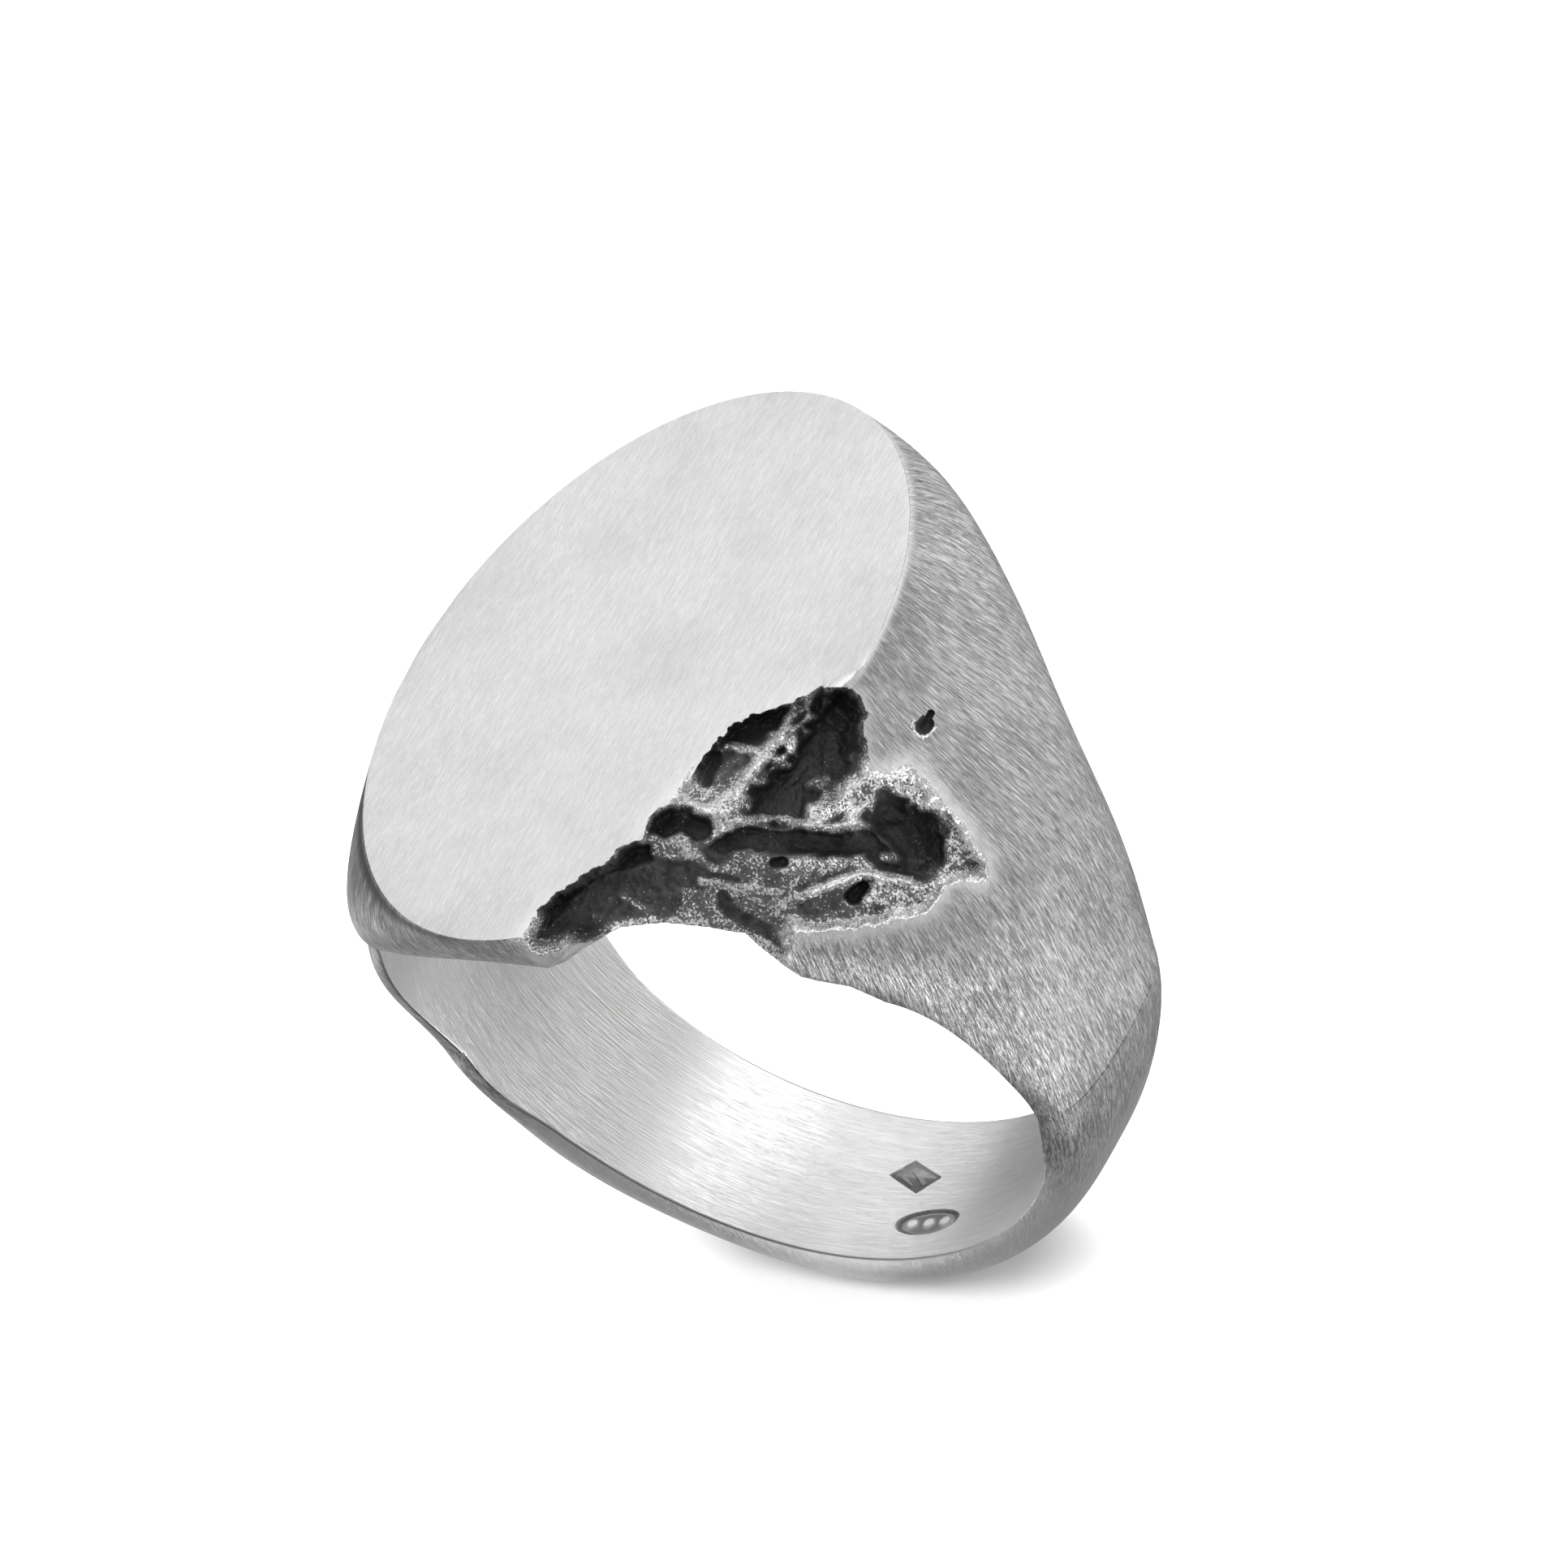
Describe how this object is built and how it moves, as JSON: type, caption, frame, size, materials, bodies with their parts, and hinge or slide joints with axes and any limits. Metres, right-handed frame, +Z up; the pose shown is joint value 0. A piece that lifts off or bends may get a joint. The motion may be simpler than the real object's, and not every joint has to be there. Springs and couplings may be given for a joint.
{
  "type": "signet ring",
  "caption": "Heavy silver signet ring: a cast head with a flat oval table and one bitten, blackened corner, soldered to a shank that closes the band.",
  "frame": {"origin": "under the middle of the shank, on the surface that the standing ring touches", "axes": "+Z up through the middle of the flat table, +Y along the finger (the table's long axis), +X across the finger towards the bitten corner's side; the bite is on the +X, -Y side"},
  "size_m": [0.0214, 0.021, 0.0227],
  "materials": {
    "head_silver": "brushed sterling silver, blackened in the bite",
    "shank_silver": "brushed sterling silver",
    "solder": "filed silver solder"
  },
  "bodies": {
    "root": {"signet_head": "head_silver", "shank": "shank_silver", "solder_seam_left": "solder", "solder_seam_right": "solder"}
  },
  "joints": []
}
